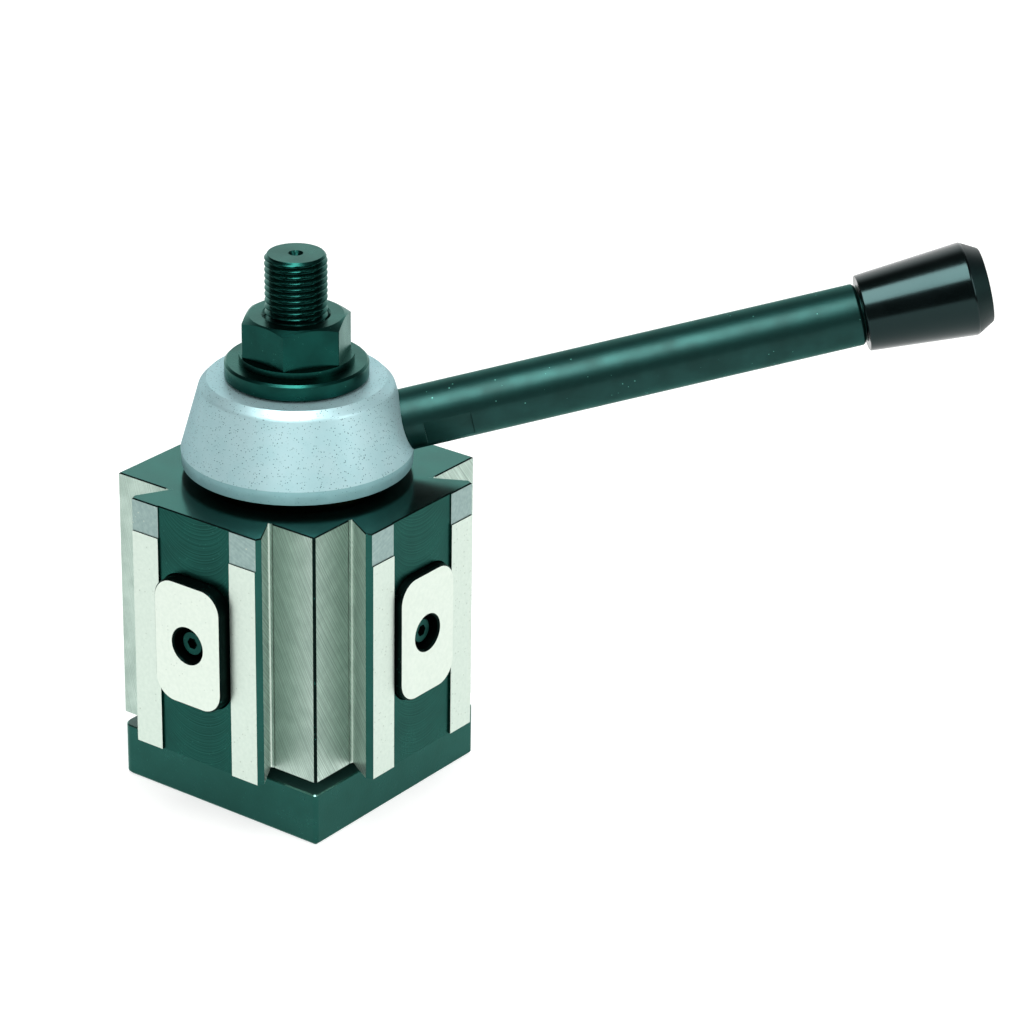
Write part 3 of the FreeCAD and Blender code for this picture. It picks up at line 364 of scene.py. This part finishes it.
def rootFillets(form):
    # A bright narrow fillet where each flank meets the shoulder; it fills the relief beside the flank too.
    lean = math.radians(root["slope"])
    inward = (-root["depth"] * math.sin(lean), root["depth"] * math.cos(lean))
    section = [(root["foot"] * math.sin(lean), -root["foot"] * math.cos(lean)), (root["bright"], -root["sunk"]),
               (root["mouth"], 0), (inward[0] + root["mouth"], inward[1]), inward]
    for side in (1, -1):
        for turned in (False, True):
            columns = []
            for x, y in section:
                x, y = side * (root["halfWidth"] + x), y - block["shoulderReach"]
                if turned:
                    x, y = -y, x
                columns.append([form.verts.new(Vector((x, y, z)) * mm)
                                for z in (block["slotTop"], block["topHeight"])])
            count = len(columns)
            for k in range(count):
                (low, high), (lowNext, highNext) = columns[k], columns[(k + 1) % count]
                skin = "ground" if k == 0 else "milled"
                form.faces.new((low, lowNext, highNext, high)).material_index = blockFinishes.index(skin)
            form.faces.new([high for _, high in columns]).material_index = blockFinishes.index("topOxide")
            form.faces.new([low for low, _ in reversed(columns)]).material_index = blockFinishes.index("oxideAndPaintedShade")
            if side < 0:
                bmesh.ops.reverse_faces(form, faces=form.faces[-count - 2:])


dressed("toolPostBlock", "post_body", "post", blockFinishes, blockFace,
        edge=block["edge"], shortest=2.0, widths=blockEdge, extra=rootFillets)
dressed("centreSleeve", "center_sleeve", "post", ["ground"], edge=0.15)
dressed("stopPin", "stop_pin", "post", ["ground"], edge=0.0)
dressed("lowerThrustWasher", "lower_thrust_washer", "post", ["bronze"], edge=0.1)
dressed("upperThrustWasher", "upper_thrust_washer", "post", ["bronze"], edge=0.1)
print("stage 3: block made")


# hub, cam and handle

hub = {"bandTop": 81.4}


# The band under bandTop takes the hub's plating with painted shade.
def hubFace(centre, normal):
    return 1 if centre.z < hub["bandTop"] else 0


dressed("handleHub", "hub", "handle_hub", ["satinHub", "hubBandPaintedShade"], hubFace, edge=0.0)
dressed("spiralCam", "cam_sleeve", "handle_hub", ["ground"], edge=0.0)
dressed("neckSealRing", "neck_seal_ring", "handle_hub", ["rubber"], edge=0.2, shortest=0.5)
for number in (1, 2, 3):
    dressed(f"hubDowel{number}", f"hub_dowel_{number}", "handle_hub", ["ground"], edge=0.0)
dressed("handleBar", "handle_bar", "handle_hub", ["barOxide"], edge=0.12, shortest=0.8)

# The bar's axis: its turn about the stud, its rise, and the height at which it meets the stud's own axis.
handle = {"angle": 42.4, "tilt": 12.7, "rootHeight": 81.6}
handleAxis = Matrix.Translation((0, 0, handle["rootHeight"] * mm)) \
    @ Matrix.Rotation(math.radians(handle["angle"]), 4, "Z") @ Matrix.Rotation(math.radians(-handle["tilt"]), 4, "Y")
knob = {"narrow": 8.65, "wide": 10.65, "end": 8.4, "bore": 6.5, "insertLength": 18.0, "length": 28.4,
        "endTaper": 4.0, "start": 130.0, "rim": 0.3, "slack": 0.1, "around": 96}


def insertFace(centre, normal):
    # Only the face that looks toward the bar is blackened: painted shade in the gap between bar and knob.
    along = (handleAxis.inverted() @ (centre * mm)).x / mm
    return 1 if along < knob["start"] + knob["slack"] else 0


dressed("knobInsert", "knob_insert", "handle_hub", ["brass", "oxideAndPaintedShade"], insertFace, edge=0.0)


def lathe(mesh, profile, around):
    # Turns (radius, length) points round +Z; a point on the axis closes that end.
    form = bmesh.new()
    rings = []
    for radius, length in profile:
        if radius == 0:
            rings.append([form.verts.new((0, 0, length * mm))] * around)
        else:
            rings.append([form.verts.new((radius * mm * math.cos(math.tau * k / around),
                                          radius * mm * math.sin(math.tau * k / around), length * mm))
                          for k in range(around)])
    for lower, upper in zip(rings, rings[1:]):
        for k in range(around):
            corners = [lower[k], lower[(k + 1) % around], upper[(k + 1) % around], upper[k]]
            form.faces.new(list(dict.fromkeys(corners)))
    bmesh.ops.recalc_face_normals(form, faces=form.faces)
    form.to_mesh(mesh)
    form.free()
    return mesh


def rounded(profile, radius, steps=4):
    # Each inner corner of the profile becomes a small arc-like curve, which takes less than half of either side.
    points = [profile[0]]
    for before, corner, after in zip(profile, profile[1:], profile[2:]):
        here = Vector(corner)
        start, end = (here + side.normalized() * min(radius, side.length / 2.1)
                      for side in (Vector(before) - here, Vector(after) - here))
        for step in range(steps + 1):
            t = step / steps
            points.append(tuple((1 - t) ** 2 * start + 2 * t * (1 - t) * here + t ** 2 * end))
    points.append(profile[-1])
    return points


knobEnd = knob["start"] + knob["length"]
outside = rounded([(knob["bore"], knob["start"]), (knob["narrow"], knob["start"]),
                   (knob["wide"], knobEnd - knob["endTaper"]), (knob["end"], knobEnd), (0, knobEnd)], knob["rim"])
profile = [(0, knob["start"] + knob["insertLength"]), (knob["bore"], knob["start"] + knob["insertLength"])] + outside
knobMesh = lathe(bpy.data.meshes.new("handleKnob"), profile, knob["around"])
knobMesh.transform(handleAxis @ Matrix.Rotation(math.radians(90), 4, "Y"))
knobPiece = settled("handleKnob", knobMesh, ("handle_knob",), "handle_hub",
                    ["phenolic", "phenolicEnd"], smoothTo=35)
for face in knobPiece.data.polygons:
    if (handleAxis.inverted() @ face.center).x > (knobEnd - knob["endTaper"] + knob["rim"]) * mm:
        face.material_index = 1
print("stage 4: hub and handle made")


# clamps

clamp = {"faceFrom": 35.0, "springTravel": 2.55}


def padFace(outward):
    # A pad's outer face is ground, and its sides and back are left black, their oxide darkened with painted shade.
    def choose(centre, normal):
        return 0 if normal.dot(outward) > 0.95 and centre.dot(outward) > clamp["faceFrom"] else 1
    return choose


for side, outward in (("left", Vector((0, -1, 0))), ("right", Vector((1, 0, 0)))):
    body = f"{side}_clamp"
    dressed(f"{side}ClampPad", f"clamp_pad_{side}", body, ["padSteel", "oxideAndPaintedShade"], padFace(outward),
            edge=0.0)
    dressed(f"{side}PadScrew", f"pad_screw_{side}", body, ["glossOxide"], edge=0.0)
    dressed(f"{side}Plunger", f"plunger_{side}", body, ["ground"], edge=0.0)
    spring = dressed(f"{side}ReturnSpring", f"return_spring_{side}", "post", ["springSteel"], edge=0.0)
    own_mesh(spring)  # a mesh of its own: the spring shortens as the plunger moves
print("stage 5: clamps made")


# stud, washer and nut

dressed("studWasher", "stud_washer", "washer", ["glossOxide"], edge=0.3, shortest=0.8)
dressed("studNut", "stud_nut", "nut", ["glossOxide"], edge=0.15, shortest=0.8)

stud = {"radius": 7.0, "bottom": 1.0, "top": 127.4, "threadFrom": 88.0, "pitch": 1.411, "depth": 0.87,
        "chamfer": 0.7, "footChamfer": 0.5, "around": 72, "rowsPerPitch": 12,
        "flankSteepness": 1.3, "rootShare": 0.18, "runOut": 0.2333,
        "centreRim": 1.7, "centreBore": 0.8, "centreDepth": 3.0, "centreSlope": 1.7, "drillTip": 0.5}


def threadTree():
    # A sheet rolled into a tube, cut by a helix: the radius drops wherever height and angle are out of step.
    tree = bpy.data.node_groups.new("cutThread", "GeometryNodeTree")
    for name, kind in (("Radius", "Float"), ("From", "Float"), ("To", "Float"), ("Pitch", "Float"),
                       ("Depth", "Float"), ("Flank", "Float"), ("Root", "Float"), ("Run Out", "Float"),
                       ("Chamfer", "Float"), ("Around", "Int"), ("Rows", "Int"), ("Finish", "Material")):
        tree.interface.new_socket(name, in_out="INPUT", socket_type=f"NodeSocket{kind}")
    tree.interface.new_socket("Geometry", in_out="OUTPUT", socket_type="NodeSocketGeometry")
    given = add(tree, "NodeGroupInput").outputs

    def compute(operation, first, second=0.0, third=0.0, clamp=False):
        return add(tree, "ShaderNodeMath", {0: first, 1: second, 2: third}, operation=operation,
                   use_clamp=clamp).outputs[0]

    grid = add(tree, "GeometryNodeMeshGrid", {"Size X": 1.0, "Size Y": 1.0, "Vertices X": given["Around"],
                                              "Vertices Y": given["Rows"]})
    flat = add(tree, "ShaderNodeSeparateXYZ", {0: add(tree, "GeometryNodeInputPosition").outputs[0]})
    turn = compute("ADD", flat.outputs[0], 0.5)
    span = compute("SUBTRACT", given["To"], given["From"])
    height = compute("MULTIPLY_ADD", compute("ADD", flat.outputs[1], 0.5), span, given["From"])
    phase = compute("FRACT", compute("SUBTRACT", compute("DIVIDE", height, given["Pitch"]), turn))
    ridge = compute("ABSOLUTE", compute("MULTIPLY_ADD", phase, 2.0, -1.0))
    raised = compute("SUBTRACT", compute("MULTIPLY", ridge, given["Flank"]), given["Root"], clamp=True)
    groove = compute("SUBTRACT", 1.0, raised)
    fromFoot = compute("DIVIDE", compute("SUBTRACT", height, given["From"]), given["Pitch"], clamp=True)
    fromTop = compute("DIVIDE", compute("SUBTRACT", given["To"], height), given["Run Out"], clamp=True)
    cut = compute("MULTIPLY", compute("MULTIPLY", groove, given["Depth"]), compute("MULTIPLY", fromFoot, fromTop))
    overChamfer = compute("SUBTRACT", height, compute("SUBTRACT", given["To"], given["Chamfer"]))
    radius = compute("SUBTRACT", given["Radius"], compute("MAXIMUM", cut, compute("MAXIMUM", overChamfer, 0.0)))
    angle = compute("MULTIPLY", turn, math.tau)
    rolled = add(tree, "ShaderNodeCombineXYZ", {0: compute("MULTIPLY", radius, compute("COSINE", angle)),
                                                1: compute("MULTIPLY", radius, compute("SINE", angle)), 2: height})
    tube = add(tree, "GeometryNodeSetPosition", {"Geometry": grid.outputs["Mesh"], "Position": rolled.outputs[0]})
    closed = add(tree, "GeometryNodeMergeByDistance", {"Geometry": tube.outputs[0],
                                                       "Distance": meshing["mergeWithin"] * mm})
    real = add(tree, "GeometryNodeRealizeInstances", {"Geometry": closed.outputs[0]})
    coated = add(tree, "GeometryNodeSetMaterial", {"Geometry": real.outputs[0], "Material": given["Finish"]})
    add(tree, "NodeGroupOutput", {"Geometry": coated.outputs[0]})
    return tree


def fromTree(name, tree, values):
    # Runs a node tree on an empty mesh and returns the plain mesh that it makes.
    holder = bpy.data.objects.new(name, bpy.data.meshes.new(name))
    bpy.context.collection.objects.link(holder)
    modifier = holder.modifiers.new(name, "NODES")
    modifier.node_group = tree
    for item in tree.interface.items_tree:
        if item.item_type == "SOCKET" and item.in_out == "INPUT":
            modifier[item.identifier] = values[item.name]
    ready = holder.evaluated_get(bpy.context.evaluated_depsgraph_get())
    mesh = bpy.data.meshes.new_from_object(ready)
    bpy.data.objects.remove(holder)
    return mesh


threadMesh = fromTree("studThread", threadTree(), {
    "Radius": stud["radius"] * mm, "From": stud["threadFrom"] * mm, "To": stud["top"] * mm,
    "Pitch": stud["pitch"] * mm, "Depth": stud["depth"] * mm, "Flank": stud["flankSteepness"],
    "Root": stud["rootShare"], "Run Out": stud["runOut"] * mm, "Chamfer": stud["chamfer"] * mm,
    "Around": stud["around"] + 1,        # the first and last columns of the sheet meet
    "Rows": int((stud["top"] - stud["threadFrom"]) / stud["pitch"] * stud["rowsPerPitch"]) + 1,
    "Finish": materials["glossOxide"]})
shank = lathe(bpy.data.meshes.new("studShank"), [
    (0, stud["bottom"]), (stud["radius"] - stud["footChamfer"], stud["bottom"]),
    (stud["radius"], stud["bottom"] + stud["footChamfer"]), (stud["radius"], stud["threadFrom"])], stud["around"])
cap = lathe(bpy.data.meshes.new("studEnd"), [
    (stud["radius"] - stud["chamfer"], stud["top"]), (stud["centreRim"], stud["top"]),
    (stud["centreBore"], stud["top"] - (stud["centreRim"] - stud["centreBore"]) * stud["centreSlope"]),
    (stud["centreBore"], stud["top"] - stud["centreDepth"]),
    (0, stud["top"] - stud["centreDepth"] - stud["drillTip"])], stud["around"])
studForm = bmesh.new()
for part in (threadMesh, shank, cap):
    studForm.from_mesh(part)
bmesh.ops.remove_doubles(studForm, verts=studForm.verts, dist=meshing["mergeWithin"] * mm)
bmesh.ops.recalc_face_normals(studForm, faces=studForm.faces)
studMesh = bpy.data.meshes.new("threadedStud")
studForm.to_mesh(studMesh)
studForm.free()
settled("threadedStud", studMesh, ("clamp_stud",), "stud", ["glossOxide"])
print("stage 6: stud, washer and nut made")


# floor, light and camera

# The backdrop is bright round the direction backdropFrom, where the top face mirrors it, and dark elsewhere.
studio = {"floorSize": 3000.0, "floorColour": "#c6c8c6", "floorGlow": 0.66, "floorRough": 0.9, "floorGloss": 0.1,
          "white": "#ffffff", "dark": 0.06, "bright": 1.6, "backdropFrom": (-0.595, 0.804, 0.0),
          "darkUntil": 0.45, "brightFrom": 0.88}
# The soft boxes, with their power in watts. Overhead and front only fill, so nothing mirrors them. The key makes the
# highlights and throws no light or shadow of its own on dull faces.
boxes = {
    "overheadSoftbox": {"size": (1600, 1600), "power": 16.0, "place": (0, 0, 1500), "aim": (0, 0, 0), "glossy": False},
    "frontSoftbox": {"size": (800, 800), "power": 12.5, "place": (564, -977, 410), "aim": (0, 0, 60), "glossy": False},
    "keySoftbox": {"size": (420, 560), "power": 10.0, "place": (130, -305, 820), "aim": (0, 0, 80), "diffuse": False},
    "rightSoftbox": {"size": (350, 500), "power": 2.0, "place": (700, 100, 450), "aim": (0, 0, 60)}}

floorMesh = bpy.data.meshes.new("floor")
half = studio["floorSize"] / 2 * mm
floorMesh.from_pydata([(-half, -half, 0), (half, -half, 0), (half, half, 0), (-half, half, 0)], [], [(0, 1, 2, 3)])
floor = bpy.data.objects.new("floor", floorMesh)
bpy.context.collection.objects.link(floor)
# The floor is a white sheet lit softly from below, so that shadows on it stay faint.
paper = bpy.data.materials.new("backlit_white_sheet")
paper.use_nodes = True
paper.node_tree.nodes.clear()
sheet = add(paper.node_tree, "ShaderNodeBsdfPrincipled", {
    "Base Color": linear(studio["floorColour"]), "Roughness": studio["floorRough"],
    "Specular IOR Level": studio["floorGloss"], "Emission Color": linear(studio["white"]),
    "Emission Strength": studio["floorGlow"]})
add(paper.node_tree, "ShaderNodeOutputMaterial", {"Surface": sheet.outputs[0]})
floorMesh.materials.append(paper)

world = bpy.data.worlds.new("studio")
bpy.context.scene.world = world
world.use_nodes = True
sky = world.node_tree
sky.nodes.clear()
seen = add(sky, "ShaderNodeLightPath")
toward = add(sky, "ShaderNodeTexCoord")
behind = add(sky, "ShaderNodeVectorMath", {0: toward.outputs["Generated"], 1: studio["backdropFrom"]},
             operation="DOT_PRODUCT")
glow = ramp(sky, behind.outputs["Value"], studio["darkUntil"], studio["brightFrom"], studio["dark"], studio["bright"],
            interpolation_type="SMOOTHSTEP")
room = add(sky, "ShaderNodeBackground", {"Color": linear(studio["white"]), "Strength": glow})
white = add(sky, "ShaderNodeBackground", {"Color": linear(studio["white"]), "Strength": 1.0})
both = add(sky, "ShaderNodeMixShader", {0: seen.outputs["Is Camera Ray"], 1: room.outputs[0], 2: white.outputs[0]})
add(sky, "ShaderNodeOutputWorld", {"Surface": both.outputs[0]})

for name, box in boxes.items():
    lamp = bpy.data.lights.new(name, "AREA")
    lamp.shape = "RECTANGLE"
    lamp.size, lamp.size_y = (side * mm for side in box["size"])
    lamp.energy = box["power"]
    thing = bpy.data.objects.new(name, lamp)
    bpy.context.collection.objects.link(thing)
    here, there = Vector(box["place"]) * mm, Vector(box["aim"]) * mm
    thing.location = here
    thing.rotation_euler = (there - here).to_track_quat("-Z", "Y").to_euler()
    thing.visible_glossy = box.get("glossy", True)
    thing.visible_diffuse = box.get("diffuse", True)

# The camera stands where the photograph was taken from, found from the block's corners. Focal length and frame are
# in pixels, and right and up shift the aim across the picture.
view = {"azimuth": 36.531, "elevation": 24.329, "roll": 0.891, "focal": 3969.819, "frame": 1024,
        "right": 48.725, "up": 22.732, "aimHeight": 40.0, "distance": 907.718, "sensor": 36.0, "farthest": 20000.0}
azimuth, elevation, roll = (math.radians(view[k]) for k in ("azimuth", "elevation", "roll"))
back = Vector((math.sin(azimuth) * math.cos(elevation), -math.cos(azimuth) * math.cos(elevation),
               math.sin(elevation)))
level = Vector((math.cos(azimuth), math.sin(azimuth), 0))
upright = back.cross(level)
right = math.cos(roll) * level + math.sin(roll) * upright
up = -math.sin(roll) * level + math.cos(roll) * upright
aim = Vector((0, 0, view["aimHeight"])) + view["right"] * right + view["up"] * up
cameraData = bpy.data.cameras.new("camera")
cameraData.sensor_width = view["sensor"]
cameraData.lens = view["focal"] / view["frame"] * view["sensor"]
cameraData.clip_end = view["farthest"] * mm
camera = bpy.data.objects.new("camera", cameraData)
bpy.context.collection.objects.link(camera)
camera.matrix_world = Matrix.Translation((aim + view["distance"] * back) * mm) \
    @ Matrix((right, up, back)).transposed().to_4x4()
bpy.context.scene.camera = camera
bpy.context.scene.view_settings.view_transform = "Standard"
print("stage 7: floor, light and camera set")
